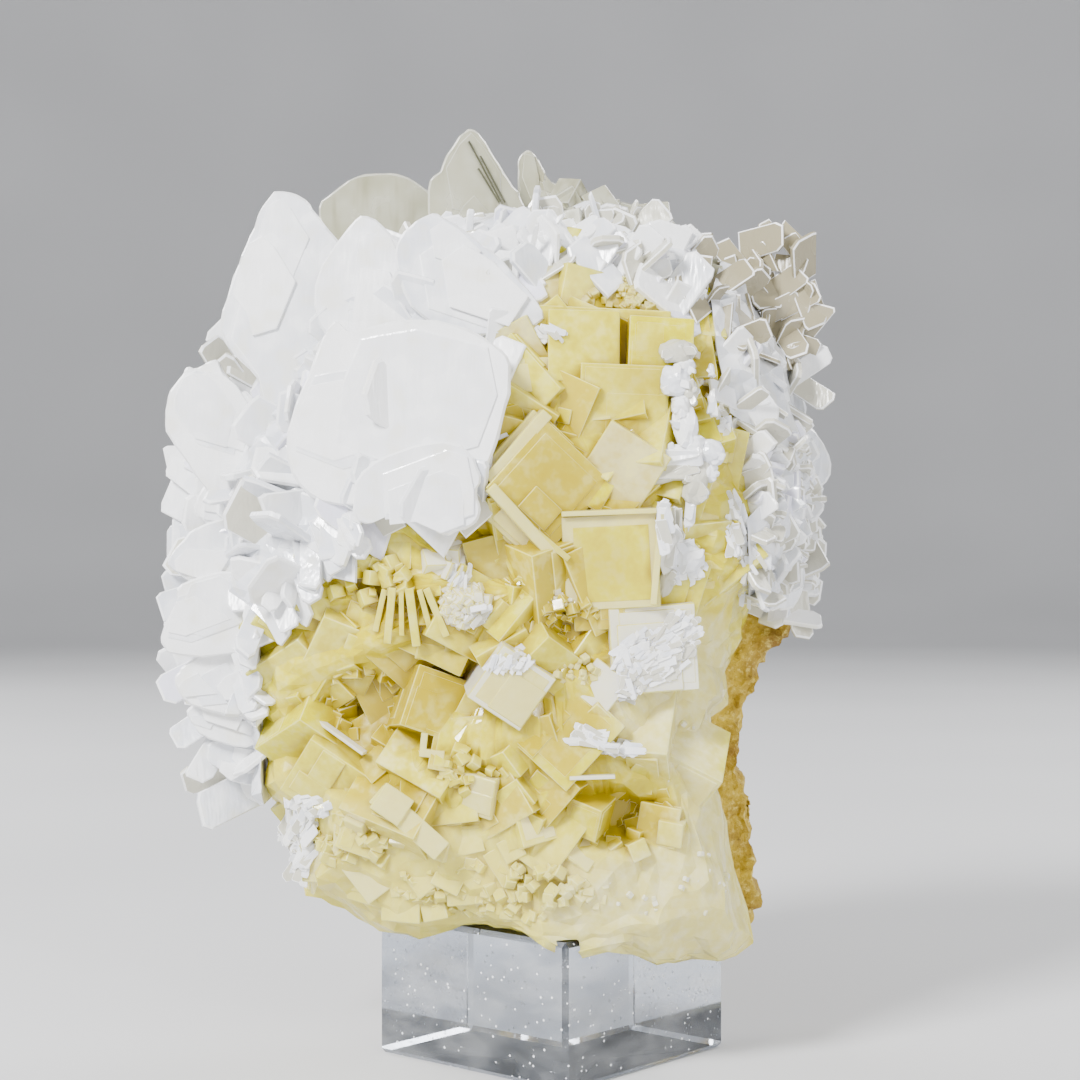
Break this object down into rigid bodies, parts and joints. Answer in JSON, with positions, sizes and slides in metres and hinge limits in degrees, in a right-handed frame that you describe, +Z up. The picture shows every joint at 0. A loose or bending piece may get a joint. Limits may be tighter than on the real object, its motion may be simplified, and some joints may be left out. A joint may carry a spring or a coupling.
{
  "type": "fluorite and barite mineral specimen on display block",
  "caption": "Yellow cubic fluorite crystals with white and clear tabular barite on ochre rock, a hand specimen resting on a clear square display block.",
  "frame": {"origin": "centre of the display block's underside", "axes": "+Z up, the specimen's best side faces -Y, +X to the viewer's right"},
  "size_m": [0.0877, 0.0586, 0.119],
  "materials": {
    "acrylic": "polished",
    "fluorite": "satin",
    "matrix": "matte",
    "barite": "satin"
  },
  "bodies": {
    "root": {"acrylic_block": "acrylic", "fluorite_crystals": "fluorite", "matrix_rock": "matrix", "barite_fan": "barite", "barite_rosettes_right": "barite", "barite_sprig": "barite"}
  },
  "joints": []
}
